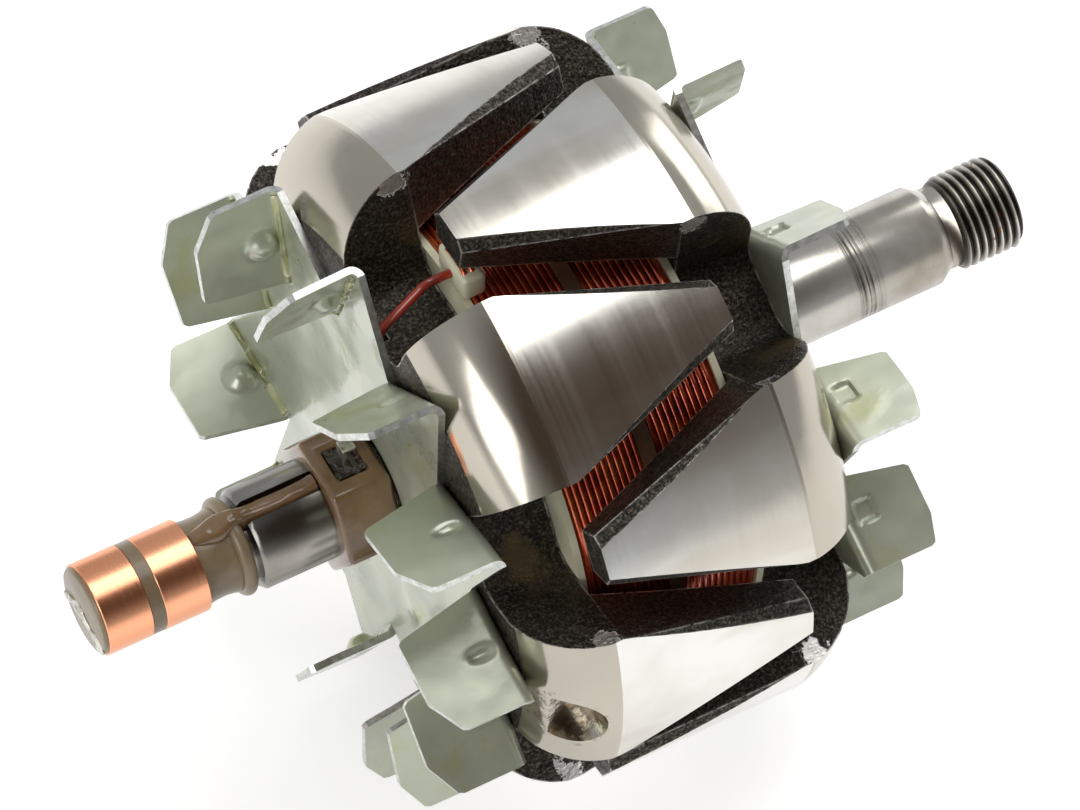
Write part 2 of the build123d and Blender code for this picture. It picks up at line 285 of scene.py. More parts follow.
def poleSteel(name):
    # ground outside, black forging scale everywhere else, bright along the edges with wear and a painted
    # edge highlight
    s = Shader(name)
    look = poleLook
    machined, drilled = turnedPart(s)
    land = s.between(s.along(), *look["land"])
    fine = rings(s, turnedLook["fine"])
    wide = rings(s, turnedLook["wide"], 3.0)
    cloud = s.noise(30.0, 4.0)
    # painted reflection: streaks along the shaft towards the warmer, darker tone, for the axial reflection
    # bands of ground steel
    reflectionStreaks = s.noise(75.0, 3.0, 0.5, (0.25, 1, 1))
    ground = s.blend(s.spread(cloud, 0, 0.8, 0.42, 0.70), look["bright"], look["warm"])
    ground = s.blend(s.spread(reflectionStreaks, 0, 0.7, 0.50, 0.64), ground, look["warm"])
    # painted shade: the turned shoulders are darker and browner than the ground cylinder, standing in for
    # the darker reflection they show
    shoulder = s.blend(s.spread(cloud, 0, 0.6, 0.3, 0.7), look["shoulder"], look["warm"])
    metal = s.blend(land, shoulder, ground)
    pit = s.spread(s.noise(520.0, 5.0, 0.7), 0, 0.75, 0.52, 0.66)
    metal = s.blend(s.sums("MULTIPLY", drilled, pit), metal, look["rust"])

    grain = s.noise(look["grain"], 3.0, 0.6)
    lumps = s.noise(look["lumps"], 4.0, 0.65)
    # the palest grain tone, spark, is painted glints for the shiny specks in the scale
    scale = s.ramp(grain, [(0.38, look["black"]), (0.56, look["brown"]), (0.74, look["spark"])])
    resin = s.spread(s.noise(55.0, 4.0), 0, 0.8, 0.56, 0.64)
    resin = s.sums("MULTIPLY", resin, s.spread(s.radius(), 1, 0, 0.040, 0.050))
    scale = s.blend(resin, scale, look["resin"])
    # the edge mask is partly painted highlight and partly worn bare metal
    edge = s.sums("MULTIPLY", s.edgeWearAndHighlight(look["edgeReach"]), s.spread(lumps, 0, 1, 0.40, 0.56))
    edge = s.sums("MAXIMUM", edge, cornerPolish(s))
    scale = s.blend(edge, scale, look["wear"])
    s.colour(s.blend(machined, scale, metal))
    s.set("Metallic", s.sums("MAXIMUM", s.spread(machined, 0.6, 1.0), edge))

    groundRough = s.spread(s.sums("ADD", s.sums("MULTIPLY", fine, 0.5), wide), 0.13, 0.21, 0.45, 1.05)
    s.set("Roughness", s.choose(machined, s.spread(grain, 0.46, 0.24, 0.3, 0.75), groundRough))
    s.set("Anisotropic", s.spread(machined, 0.0, 0.45))
    s.turned()
    height = s.sums("ADD", grain, s.sums("MULTIPLY", lumps, 2.4))
    rough = s.sums("MULTIPLY", height, s.spread(edge, 1.0, 0.35))
    ridges = s.sums("MULTIPLY", drilled, s.noise(300.0, 3.0))
    smooth = s.sums("ADD", s.sums("MULTIPLY", fine, 0.003), ridges)
    s.set("Normal", s.bump(s.choose(machined, rough, smooth), 0.9, look["relief"]))
    return s.mat


zincLook = {
    "dark": (0.42, 0.45, 0.36),
    "middle": (0.54, 0.575, 0.45),
    "pale": (0.62, 0.64, 0.49),
    "varnish": (0.47, 0.49, 0.20),
    "stain": (0.16, 0.09, 0.04),
    "metallic": 0.45,
}


def zincSheet(name):
    # pale grey-green zinc under a wet coat of varnish, yellow where the coat is thick
    s = Shader(name)
    cloud = s.noise(45.0, 4.0)
    film = s.noise(85.0, 5.0, 0.62)
    fine = s.noise(700.0, 3.0)
    zinc = s.ramp(cloud, [(0.3, zincLook["dark"]), (0.55, zincLook["middle"]), (0.75, zincLook["pale"])])
    thick = s.spread(film, 0, 1, 0.56, 0.66)
    colour = s.blend(s.sums("MULTIPLY", thick, 0.55), zinc, zincLook["varnish"])
    spots = s.spread(s.noise(330.0, 2.0), 0, 1, 0.755, 0.775)
    s.colour(s.blend(spots, colour, zincLook["stain"]))
    s.set("Metallic", zincLook["metallic"])
    s.set("Roughness", s.spread(cloud, 0.26, 0.42, 0.3, 0.7))
    s.set("Coat Weight", s.spread(film, 0.25, 0.95, 0.40, 0.62))
    s.set("Coat Roughness", 0.07)
    s.set("Coat Normal", s.bump(film, 0.55, 0.0006))
    s.set("Normal", s.bump(fine, 0.12, 0.00004))
    return s.mat


rimLook = {"dull": (0.46, 0.47, 0.44), "bright": (0.78, 0.79, 0.75)}


def cutEdge(name):
    # the sheared rim of the sheet, bare and bright
    s = Shader(name)
    grain = s.noise(900.0, 3.0)
    s.colour(s.ramp(grain, [(0.3, rimLook["dull"]), (0.7, rimLook["bright"])]))
    s.set("Metallic", 0.85)
    s.set("Roughness", s.spread(grain, 0.22, 0.40))
    s.set("Normal", s.bump(grain, 0.2, 0.00004))
    return s.mat


varnishLook = {"thick": (0.33, 0.36, 0.13), "thin": (0.60, 0.61, 0.36)}


def varnishCoat(name):
    # hard yellow-green varnish with a wet gloss
    s = Shader(name)
    cloud = s.noise(240.0, 3.0)
    s.colour(s.ramp(cloud, [(0.3, varnishLook["thick"]), (0.7, varnishLook["thin"])]))
    s.set("Metallic", 0.15)
    s.set("Roughness", 0.16)
    s.set("Coat Weight", 1.0)
    s.set("Coat Roughness", 0.04)
    s.set("Normal", s.bump(cloud, 0.3, 0.0003))
    return s.mat


# the dull tone is the colour of the painted reflection bands
copperLook = {"clean": (0.95, 0.44, 0.25), "dull": (0.86, 0.34, 0.16)}


def copperRing(name):
    # polished copper with faint brush tracks round it and a few darker streaks along it, which are painted
    # reflection bands
    s = Shader(name)
    tracks = rings(s, 2200.0, 2.0)
    reflectionBands = s.noise(26.0, 3.0, 0.5, (0.25, 1, 1))
    # painted reflection: bands along the shaft go from the clean to the dull tone
    s.colour(s.blend(s.spread(reflectionBands, 0, 1, 0.42, 0.62), copperLook["clean"], copperLook["dull"]))
    s.set("Metallic", 1.0)
    wear = s.sums("ADD", s.sums("MULTIPLY", tracks, 0.5), reflectionBands)
    s.set("Roughness", s.spread(wear, 0.20, 0.32, 0.5, 1.0))
    s.set("Anisotropic", 0.35)
    s.turned()
    s.set("Normal", s.bump(tracks, 0.06, 0.00002))
    return s.mat


def moulding(name, dark, light, roughness, coat=0.0):
    # plastic, tape or resin: two tones, a fine skin, and a coat where it shines
    s = Shader(name)
    cloud = s.noise(120.0, 5.0)
    s.colour(s.ramp(cloud, [(0.35, dark), (0.65, light)]))
    s.set("Roughness", roughness)
    s.set("Coat Weight", coat)
    s.set("Coat Roughness", 0.08)
    s.set("Normal", s.bump(s.noise(600.0, 3.0), 0.2, 0.0001))
    return s.mat


tinLook = {"dull": (0.24, 0.22, 0.18), "bright": (0.74, 0.72, 0.65)}


def tinnedMetal(name, rough):
    # dull tin, the more uneven the more solder it carries
    s = Shader(name)
    cloud = s.noise(500.0, 5.0, 0.65)
    s.colour(s.ramp(cloud, [(0.35, tinLook["dull"]), (0.6, tinLook["bright"])]))
    s.set("Metallic", 0.9)
    s.set("Roughness", s.spread(cloud, 0.22, 0.40, 0.3, 0.7))
    s.set("Normal", s.bump(cloud, rough, 0.00035))
    return s.mat


enamelLook = {"dark": (0.34, 0.030, 0.010), "middle": (0.66, 0.090, 0.026), "orange": (0.92, 0.24, 0.07)}


def enamelledWire(name):
    # glossy red enamel over copper, uneven in tone
    s = Shader(name)
    cloud = s.noise(260.0, 4.0)
    tones = [(0.3, enamelLook["dark"]), (0.5, enamelLook["middle"]), (0.72, enamelLook["orange"])]
    s.colour(s.ramp(cloud, tones))
    s.set("Metallic", 0.7)
    s.set("Roughness", 0.22)
    s.set("Coat Weight", 1.0)
    s.set("Coat Roughness", 0.05)
    return s.mat


threadLook = {
    # the darkest tone, at the roots of the grooves
    "oil": (0.060, 0.052, 0.045),
    "crest": (0.62, 0.58, 0.53),
    "rust": (0.24, 0.085, 0.028),
    "depth": (0.00725, 0.00795),  # radii between which the dark root colour gives way to the pale crest colour
}


def threadSteel(name):
    # darker towards the roots of the grooves, pale on the crests, a few rust spots
    s = Shader(name)
    depth = s.spread(s.radius(), 0, 1, *threadLook["depth"])
    patch = s.noise(420.0, 3.0)
    base = s.blend(s.sums("POWER", depth, 2.0), threadLook["oil"], threadLook["crest"])
    rust = s.spread(s.noise(330.0, 4.0, 0.6), 0, 1, 0.64, 0.70)
    s.colour(s.blend(rust, base, threadLook["rust"]))
    s.set("Metallic", s.spread(rust, 0.95, 0.1))
    s.set("Roughness", s.spread(patch, 0.22, 0.42, 0.3, 0.7))
    return s.mat


journalLook = {
    "steel": (0.51, 0.488, 0.445),
    "stain": (0.30, 0.265, 0.215),
    "groove": (0.060, 0.050, 0.042),
    "oil": (0.20, 0.19, 0.175),
    "rear": -0.0950,  # behind this place along X the journal is dark with oil
    "grooves": (-0.0077, -0.0028),  # a band of fine grooves, along X
}


def journalSteel(name):
    # a ground seat with a patchy band of fine grooves, brown handling stains and an oily rear journal
    s = Shader(name)
    x = s.along()
    fine = rings(s, 2600.0)
    patch = s.spread(s.noise(130.0, 4.0), 0.25, 1, 0.40, 0.58)
    stripes = s.spread(rings(s, 1900.0, 2.0), 0, 1, 0.42, 0.60)
    stripes = s.sums("MULTIPLY", s.sums("MULTIPLY", s.between(x, *journalLook["grooves"]), patch), stripes)
    stain = s.noise(60.0, 5.0)
    drag = s.noise(110.0, 4.0, 0.6, (0.12, 1, 1))
    base = s.blend(s.spread(stain, 0, 1, 0.40, 0.68), journalLook["steel"], journalLook["stain"])
    base = s.blend(s.spread(drag, 0, 0.5, 0.52, 0.66), base, journalLook["stain"])
    rear = s.sums("LESS_THAN", x, journalLook["rear"])
    oil = s.sums("MULTIPLY", rear, s.spread(drag, 0.45, 1.0, 0.36, 0.52))
    base = s.blend(oil, base, journalLook["oil"])
    s.colour(s.blend(stripes, base, journalLook["groove"]))
    s.set("Metallic", 1.0)
    wear = s.sums("ADD", s.sums("MULTIPLY", fine, 0.5), stain)
    s.set("Roughness", s.spread(wear, 0.17, 0.30, 0.5, 1.1))
    s.set("Anisotropic", 0.45)
    s.turned()
    height = s.sums("ADD", s.sums("MULTIPLY", fine, 0.12), s.sums("MULTIPLY", stripes, -1.0))
    s.set("Normal", s.bump(height, 0.35, 0.00003))
    return s.mat


# each finish's maker, and what the maker takes after the name
recipes = {
    "groundSteel": (journalSteel,),
    "threadSteel": (threadSteel,),
    "poleSteel": (poleSteel,),
    "zincSheet": (zincSheet,),
    "cutEdge": (cutEdge,),
    "varnish": (varnishCoat,),
    "copperRing": (copperRing,),
    "tanMoulding": (moulding, (0.205, 0.145, 0.082), (0.300, 0.222, 0.132), 0.36, 0.25),
    "brownMoulding": (moulding, (0.145, 0.078, 0.032), (0.255, 0.150, 0.068), 0.24, 0.7),
    "creamNylon": (moulding, (0.74, 0.70, 0.48), (0.86, 0.83, 0.62), 0.40, 0.2),
    "enamelledWire": (enamelledWire,),
    "brownTape": (moulding, (0.10, 0.045, 0.02), (0.22, 0.10, 0.045), 0.6),
    "tinned": (tinnedMetal, 0.25),
    "solder": (tinnedMetal, 1.0),
    "potting": (moulding, (0.010, 0.008, 0.006), (0.045, 0.028, 0.016), 0.18, 0.8),
    "redSleeve": (moulding, (0.20, 0.030, 0.012), (0.46, 0.040, 0.022), 0.22, 0.8),
}
finishes = {name: make(name, *rest) for name, (make, *rest) in recipes.items()}
finishNodes = {
    "groundSteel": ["shaft"],
    "poleSteel": ["slip_ring_end_pole", "drive_end_pole"],
    "creamNylon": ["bobbin", "lead_clip_a", "lead_clip_b"],
    "enamelledWire": ["field_coil"],
    "brownTape": ["coil_tape"],
    "zincSheet": ["slip_ring_end_fan", "drive_end_fan"],
    "copperRing": ["outer_slip_ring", "inner_slip_ring"],
    "tanMoulding": ["ring_insulator"],
    "tinned": ["tip_contact", "terminal_hook_a", "terminal_hook_b"],
    "brownMoulding": ["conductor_strip_a", "conductor_strip_b", "terminal_collar"],
    "redSleeve": ["lead_a", "lead_b"],
}
for finishName, nodeNames in finishNodes.items():
    for nodeName in nodeNames:
        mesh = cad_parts[nodeName].data
        mesh.materials.clear()
        mesh.materials.append(finishes[finishName])
print("finishes set")


# meshes


def linkPiece(name, mesh, node=None):
    # every piece is rigid with the rotor
    piece = bpy.data.objects.new(name, mesh)
    bpy.context.collection.objects.link(piece)
    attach(piece, "root")
    if node:
        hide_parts(node)


def meshFrom(name, work, *finishNames):
    mesh = bpy.data.meshes.new(name)
    work.to_mesh(mesh)
    work.free()
    for finish in finishNames:
        mesh.materials.append(finishes[finish])
    return mesh


def makePiece(name, points, faces, finish, node=None, crease=None):
    # a smooth mesh, with a hard line wherever two faces turn by more than the crease
    mesh = bpy.data.meshes.new(name)
    mesh.from_pydata(points, [], faces)
    mesh.validate()
    mesh.shade_smooth()
    mesh.materials.append(finishes[finish])
    if crease:
        work = bmesh.new()
        work.from_mesh(mesh)
        bmesh.ops.recalc_face_normals(work, faces=work.faces[:])
        hardenEdges(work, crease)
        work.to_mesh(mesh)
        work.free()
    linkPiece(name, mesh, node)


def hardenEdges(work, angle):
    for edge in work.edges:
        edge.smooth = len(edge.link_faces) != 2 or edge.calc_face_angle(0) < angle


def around(x, r, angle):
    return (x, r * math.cos(angle), r * math.sin(angle))


def tubeInto(faces, base, rows, ring, looped=False, capped=False):
    # quads between rings of points, each ring closed on itself
    for row in range(rows):
        here = base + row * ring
        after = base + (row + 1) % (rows if looped else rows + 1) * ring
        for k in range(ring):
            k2 = (k + 1) % ring
            faces.append((here + k, here + k2, after + k2, after + k))
    if capped:
        faces.append(tuple(base + k for k in reversed(range(ring))))
        faces.append(tuple(base + rows * ring + k for k in range(ring)))


def latheInto(points, faces, profile, sides, closed=True):
    # a profile of (x, r) turned round the shaft, closed on itself or by a disc at each end
    base = len(points)
    for x, r in profile:
        points += [around(x, r, math.tau * k / sides) for k in range(sides)]
    rows = len(profile) if closed else len(profile) - 1
    tubeInto(faces, base, rows, sides, looped=closed, capped=not closed)


def metres(profile):
    return [(x / 1000, r / 1000) for x, r in profile]


def nodeBox(name):
    low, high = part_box(name)
    return Vector(low), Vector(high)


windingSet = {"pitch": 0.00112, "wire": 0.00098, "bore": 0.0312, "squash": 0.98, "ring": 8, "sides": 72}


def windCoil():
    # every turn of the outer layer, laid as one helix over a core
    low, high = nodeBox("field_coil")
    radius = windingSet["wire"] / 2
    ring, sides, bore = windingSet["ring"], windingSet["sides"], windingSet["bore"]
    points, faces = [], []
    lay = high.y - radius
    core = lay - radius / 2
    latheInto(points, faces, [(low.x, bore), (low.x, core), (high.x, core), (high.x, bore)], sides)
    run = high.x - low.x - windingSet["wire"]
    steps = int(run / windingSet["pitch"]) * sides
    base = len(points)
    for step in range(steps + 1):
        x = low.x + radius + run * step / steps
        for k in range(ring):
            turn = math.tau * k / ring
            rise = radius * math.sin(turn) * windingSet["squash"]
            points.append(around(x + radius * math.cos(turn), lay + rise, math.tau * step / sides))
    tubeInto(faces, base, steps, ring, capped=True)
    makePiece("windingTurns", points, faces, "enamelledWire", "field_coil")


threadSet = {
    "start": 0.0124,
    "end": 0.0234,
    "outer": 0.008,
    "depth": 0.00092,
    "pitch": 0.0015,
    "chamfer": 0.001,
    "flat": 0.10,  # share of the pitch that is flat at the root
    "flank": 0.78,
    "overlap": 0.0004,  # how far the threaded piece reaches into the neck
    "neck": 0.0058,
    "sides": 120,
    "rows": 16,
}


def copyNode(name):
    # a working copy of a node's mesh, so that the node itself is left as it is
    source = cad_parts[name]
    work = bmesh.new()
    work.from_mesh(source.data)
    work.transform(source.matrix_world)
    bmesh.ops.remove_doubles(work, verts=work.verts, dist=1e-6)
    return work


def threadRadius(x, turn):
    # the helix's radius at a place along the shaft and a share of a turn
    t = threadSet
    phase = ((x - t["start"]) / t["pitch"] - turn) % 1.0
    rise = min(1.0, max(0.0, (abs(phase - 0.5) * 2 - t["flat"]) / t["flank"]))
    slope = min(x - t["start"], t["end"] - x)
    return min(t["outer"] - t["depth"] * (1 - rise), t["outer"] - t["chamfer"] + slope)


def cutThread():
    # the shaft again, with its end carrying a rolled helix instead of the plain cylinder
    t = threadSet
    work = copyNode("shaft")
    whole = work.verts[:] + work.edges[:] + work.faces[:]
    cutAt = (t["start"], 0, 0)
    bmesh.ops.bisect_plane(work, geom=whole, plane_co=cutAt, plane_no=(1, 0, 0), clear_outer=True)
    bmesh.ops.holes_fill(work, edges=[e for e in work.edges if e.is_boundary], sides=0)
    rows = int((t["end"] - t["start"]) / t["pitch"] * t["rows"])
    turns = [k / t["sides"] for k in range(t["sides"])]
    places = [(t["start"] - t["overlap"], lambda x, turn: t["neck"])]
    places += [(t["start"] + (t["end"] - t["start"]) * row / rows, threadRadius) for row in range(rows + 1)]
    grid = [[work.verts.new(around(x, r(x, turn), math.tau * turn)) for turn in turns] for x, r in places]
    for row in range(rows + 1):
        for k in range(t["sides"]):
            k2 = (k + 1) % t["sides"]
            face = work.faces.new((grid[row][k], grid[row][k2], grid[row + 1][k2], grid[row + 1][k]))
            face.material_index = 1
            face.smooth = True
    for cap in (reversed(grid[0]), grid[-1]):
        work.faces.new(list(cap)).smooth = False
    bmesh.ops.recalc_face_normals(work, faces=work.faces[:])
    linkPiece("threadedShaft", meshFrom("threadedShaft", work, "groundSteel", "threadSteel"), "shaft")


fanSet = {
    "slip_ring_end_fan": {
        "face": -0.0907, "side": -1, "hole": 0.0115, "chord": 0.0200, "height": 0.0146, "outer": 0.0112,
        "angles": [23, 51, 84, 114, 143, 174, 198, 223, 243, 273, 311, 341],
    },
    "drive_end_fan": {
        "face": -0.0313, "side": 1, "hole": 0.01015, "chord": 0.0165, "height": 0.0126, "outer": 0.0112,
        "angles": [36, 75, 114, 151, 183, 214, 250, 287, 322, 359],
    },
}
sheetSet = {
    "tip": 0.0518,  # radius of the blades' outer corners
    "lean": 26,
    "thick": 0.0012,
    "bend": 0.0022,
    "crest": 0.36,
    "slant": 0.003,
    "corner": 0.0007,
    "still": 0.003,  # below this height a blade stands exactly as drawn
    "sway": 0.05,
    "curl": 0.012,
    "wobble": 0.00006,
    "crease": 0.7,
    "cols": 40,
    "rows": 34,
    "bendRows": 6,
}
plateSet = {"rings": 16, "step": 0.0022, "swell": 0.0004, "lowest": -0.0003, "calm": 3}
# what is pressed into each blade near its bend, by the fan's side: a round dome with a slot behind it,
# or a square tab. A press is (half its width, half its height, power of its outline, depth).
dimpleSet = {
    -1: {
        "along": 0.50, "up": 0.0047,
        "front": (0.0022, 0.0022, 4, 0.0018), "back": (0.0011, 0.0022, 4, 0.0008),
    },
    1: {
        "along": 0.58, "up": 0.0042,
        "front": (0.0019, 0.0017, 10, 0.0007), "back": (0.0018, 0.0016, 12, 0.0007),
    },
}


def pressed(press, ds, do):
    # how far the sheet is pushed over the plate at a distance from the press's middle
    wide, tall, power, deep = press
    if power == 4:  # a round outline
        return deep * math.exp(-((ds / wide) ** 2 + (do / tall) ** 2) ** 2)
    return deep * math.exp(-abs(ds / wide) ** power - abs(do / tall) ** power)


def bladeFrame(look, angle):
    # the blade's corner at the fan's rim, the way along its foot, and the way over the plate
    a = math.radians(angle)
    b = math.radians(angle + 180 + sheetSet["lean"])
    corner = Vector((look["face"], sheetSet["tip"] * math.cos(a), sheetSet["tip"] * math.sin(a)))
    return corner, Vector((0, math.cos(b), math.sin(b))), Vector((0, math.sin(b), -math.cos(b)))


def bladeTop(look, s):
    # the height of the blade's upper edge at a distance along its foot, with rounded corners
    peak = look["chord"] * sheetSet["crest"]
    full = look["height"] + sheetSet["thick"]
    low = look["outer"] + sheetSet["thick"]
    top = low + (full - low) * min(1.0, s / peak)
    for gap in (s, look["chord"] - s):
        if gap < sheetSet["corner"]:
            short = 1 - gap / sheetSet["corner"]
            top -= sheetSet["corner"] * (1 - math.sqrt(max(0.0, 1 - short * short)))
    return top


def profileRow(row, inner, top):
    # one point of the bent sheet's section, as (over the plate, outward)
    bend, thick, rows, bendRows = (sheetSet[key] for key in ("bend", "thick", "rows", "bendRows"))
    radius = bend - thick if inner else bend
    if row <= bendRows:
        turn = math.pi / 2 * row / bendRows
        return bend - radius * math.sin(turn), bend - radius * math.cos(turn)
    share = (row - bendRows) / (rows - bendRows)
    return bend - radius, bend + (top - bend) * share


def bladePoint(look, number, stand, inner, row, u):
    # a point of a blade's face: u is the share of the way along its foot
    corner, along, over = stand
    out = Vector((look["side"], 0, 0))
    full = look["height"] + sheetSet["thick"]
    w, o = profileRow(row, inner, bladeTop(look, u * look["chord"]))
    s = u * (look["chord"] - sheetSet["slant"] * o / full)
    dimple = dimpleSet[look["side"]]
    if row > sheetSet["bendRows"] - 3:
        press = dimple["front" if inner else "back"]
        w += pressed(press, s - look["chord"] * dimple["along"], o - dimple["up"])
    # no two blades stand quite alike
    sway = noise.noise(Vector((number * 3.7, look["face"] * 100, 1.3))) * sheetSet["sway"]
    high = max(0.0, o - sheetSet["still"])
    w += sway * high + sheetSet["curl"] * high * math.sin(u * 3 + number)
    w += noise.noise(Vector((s * 300, o * 300, number * 5.1))) * sheetSet["wobble"]
    return tuple(corner + along * s + over * w + out * o)


def bladeInto(points, faces, rims, look, number, angle):
    cols, rows = sheetSet["cols"], sheetSet["rows"]
    stand = bladeFrame(look, angle)
    grids = []
    for inner in (False, True):
        grid = []
        for row in range(rows + 1):
            grid.append(range(len(points), len(points) + cols + 1))
            points += [bladePoint(look, number, stand, inner, row, col / cols) for col in range(cols + 1)]
        grids.append(grid)
    outer, inner = grids
    for row in range(rows):
        a, b, c, d = outer[row], outer[row + 1], inner[row], inner[row + 1]
        for col in range(cols):
            faces.append((a[col], a[col + 1], b[col + 1], b[col]))
            faces.append((c[col], d[col], d[col + 1], c[col + 1]))
    for col in range(cols):
        rims.append(len(faces))
        faces.append((outer[rows][col], outer[rows][col + 1], inner[rows][col + 1], inner[rows][col]))
        faces.append((outer[0][col], inner[0][col], inner[0][col + 1], outer[0][col + 1]))
    for row in range(rows):
        for col in (0, cols):
            rims.append(len(faces))
            faces.append((outer[row][col], inner[row][col], inner[row + 1][col], outer[row + 1][col]))


def plateOutline(look):
    # the saw-toothed rim, cut back by the bend along each blade
    rim = []
    for angle in look["angles"]:
        corner, along, over = bladeFrame(look, angle)
        foot = corner + along * look["chord"]
        for start in (foot, foot + over * sheetSet["bend"], corner + over * sheetSet["bend"]):
            rim.append((start.y, start.z))
    fine = []
    for k, (y, z) in enumerate(rim):
        y2, z2 = rim[(k + 1) % len(rim)]
        steps = max(1, int(math.hypot(y2 - y, z2 - z) / plateSet["step"]))
        fine += [(y + (y2 - y) * j / steps, z + (z2 - z) * j / steps) for j in range(steps)]
    return fine


def plateInto(points, faces, rims, look):
    # rings of points from the hole to the rim, the outer side a little swollen between them
    rim = plateOutline(look)
    rings, count = plateSet["rings"], len(rim)
    sides = []
    for level in (0.0, sheetSet["thick"]):
        grid = []
        for ring in range(rings + 1):
            grid.append(range(len(points), len(points) + count))
            calm = min(1.0, (rings - ring) / plateSet["calm"]) * min(1.0, ring / plateSet["calm"])
            for y, z in rim:
                far = math.hypot(y, z)
                r = look["hole"] + (far - look["hole"]) * ring / rings
                py, pz = y / far * r, z / far * r
                swell = noise.noise(Vector((py * 120, pz * 120, 4.2))) * plateSet["swell"] * calm
                rise = level + max(plateSet["lowest"], swell) if level else 0.0
                points.append((look["face"] + look["side"] * rise, py, pz))
        sides.append(grid)
    under, over = sides
    for k in range(count):
        k2 = (k + 1) % count
        for ring in range(rings):
            faces.append((under[ring][k], under[ring + 1][k], under[ring + 1][k2], under[ring][k2]))
            faces.append((over[ring][k], over[ring][k2], over[ring + 1][k2], over[ring + 1][k]))
        rims.append(len(faces))
        faces.append((under[rings][k], over[rings][k], over[rings][k2], under[rings][k2]))
        faces.append((under[0][k], under[0][k2], over[0][k2], over[0][k]))


def stampFan(name, look):
    # the stamped sheet: a saw-toothed plate with a blade bent up along each tooth
    points, faces, rims = [], [], []
    plateInto(points, faces, rims, look)
    for number, angle in enumerate(look["angles"]):
        bladeInto(points, faces, rims, look, number, angle)
    mesh = bpy.data.meshes.new(name)
    mesh.from_pydata(points, [], faces)
    mesh.shade_smooth()
    work = bmesh.new()
    work.from_mesh(mesh)
    work.faces.ensure_lookup_table()
    for index in rims:
        work.faces[index].material_index = 1
        work.faces[index].smooth = False
    bmesh.ops.recalc_face_normals(work, faces=work.faces[:])
    hardenEdges(work, sheetSet["crease"])
    linkPiece(name + "_sheet", meshFrom(name + "_sheet", work, "zincSheet", "cutEdge"), name)
    bpy.data.meshes.remove(mesh)


varnishSet = {"most": 0.0021, "bare": 0.36, "hidden": 0.00012, "ends": 0.03, "cols": 40, "rows": 8}


def runVarnish(name, look):
    # beads of varnish that ran into the bend of each blade, thin and thick by turns
    points, faces = [], []
    cols, rows = varnishSet["cols"], varnishSet["rows"]
    inner = sheetSet["bend"] - sheetSet["thick"]
    out = Vector((look["side"], 0, 0))
    for number, angle in enumerate(look["angles"]):
        corner, along, over = bladeFrame(look, angle)
        base = len(points)
        for col in range(cols + 1):
            share = col / cols
            s = look["chord"] * (varnishSet["ends"] + (1 - 2 * varnishSet["ends"]) * share)
            flow = 0.5 + noise.noise(Vector((s * 260, number * 7.3, look["face"] * 50)))
            taper = max(0.0, math.sin(math.pi * share)) ** 0.4
            bead = varnishSet["most"] * max(0.0, flow - varnishSet["bare"]) * taper
            for row in range(rows + 1):
                turn = math.pi / 2 * row / rows
                spread = math.sin(math.pi * row / rows)
                radius = inner - bead * spread + varnishSet["hidden"] * (1 - spread)
                w = sheetSet["bend"] - radius * math.sin(turn)
                o = sheetSet["bend"] - radius * math.cos(turn)
                points.append(tuple(corner + along * s + over * w + out * o))
        ribs = [[base + col * (rows + 1) + row for row in range(rows + 1)] for col in range(cols + 1)]
        for here, after in zip(ribs, ribs[1:]):
            for row in range(rows):
                faces.append((here[row], here[row + 1], after[row + 1], after[row]))
        # both ends and the hidden back close the bead inside the sheet
        faces += [tuple(ribs[0]), tuple(reversed(ribs[-1]))]
        faces.append(tuple([rib[0] for rib in ribs] + [rib[-1] for rib in reversed(ribs)]))
    makePiece(name + "_varnish", points, faces, "varnish")


# the slip-ring end, in millimetres; the disc's places count from the end, the neck's from the inner ring
ringSet = {
    "end": -143.4,
    "outer": (-142.7, -134.8),
    "inner": (-132.6, -124.7),
    "radius": 7.8,
    "bore": 6.2,
    "edge": 0.15,
    "spacer": 7.72,
    "disc": [(0, 6.8), (0.12, 7.15), (0.4, 7.4), (0.7, 7.5)],
    "neck": [(0, 7.2), (0.5, 7.05), (1.6, 6.85), (3.4, 6.8), (4.8, 6.95), (5.6, 7.2)],
    "flange": {"middle": -117.5, "half": 1.2, "foot": 7.15, "rise": 1.22, "bore": 5.05, "steps": 12},
    "sides": 120,
}


def turnRingMoulding():
    # end disc, flush spacer, waisted neck and round flange, in one lathe
    a, b = ringSet["outer"]
    c, d = ringSet["inner"]
    bore, spacer, flange = ringSet["bore"], ringSet["spacer"], ringSet["flange"]
    profile = [(ringSet["end"] + x, r) for x, r in ringSet["disc"]]
    profile += [(a, bore), (b, bore), (b, spacer), (c, spacer), (c, bore), (d, bore)]
    profile += [(d + x, r) for x, r in ringSet["neck"]]
    for k in range(flange["steps"] + 1):
        turn = math.pi * k / flange["steps"]
        x = flange["middle"] - flange["half"] * math.cos(turn)
        profile.append((x, flange["foot"] + flange["rise"] * math.sin(turn)))
    profile.append((flange["middle"] + flange["half"], flange["bore"]))
    points, faces = [], []
    latheInto(points, faces, metres(profile), ringSet["sides"], closed=False)
    makePiece("ringMoulding", points, faces, "tanMoulding", "ring_insulator", 0.6)


def turnRings():
    r, bore, edge = ringSet["radius"], ringSet["bore"], ringSet["edge"]
    for which in ("outer", "inner"):
        start, end = ringSet[which]
        profile = [(start, bore), (start, r - edge), (start + edge, r)]
        profile += [(end - edge, r), (end, r - edge), (end, bore)]
        points, faces = [], []
        latheInto(points, faces, metres(profile), ringSet["sides"])
        node = which + "_slip_ring"
        makePiece(node + "_copper", points, faces, "copperRing", node, 0.5)


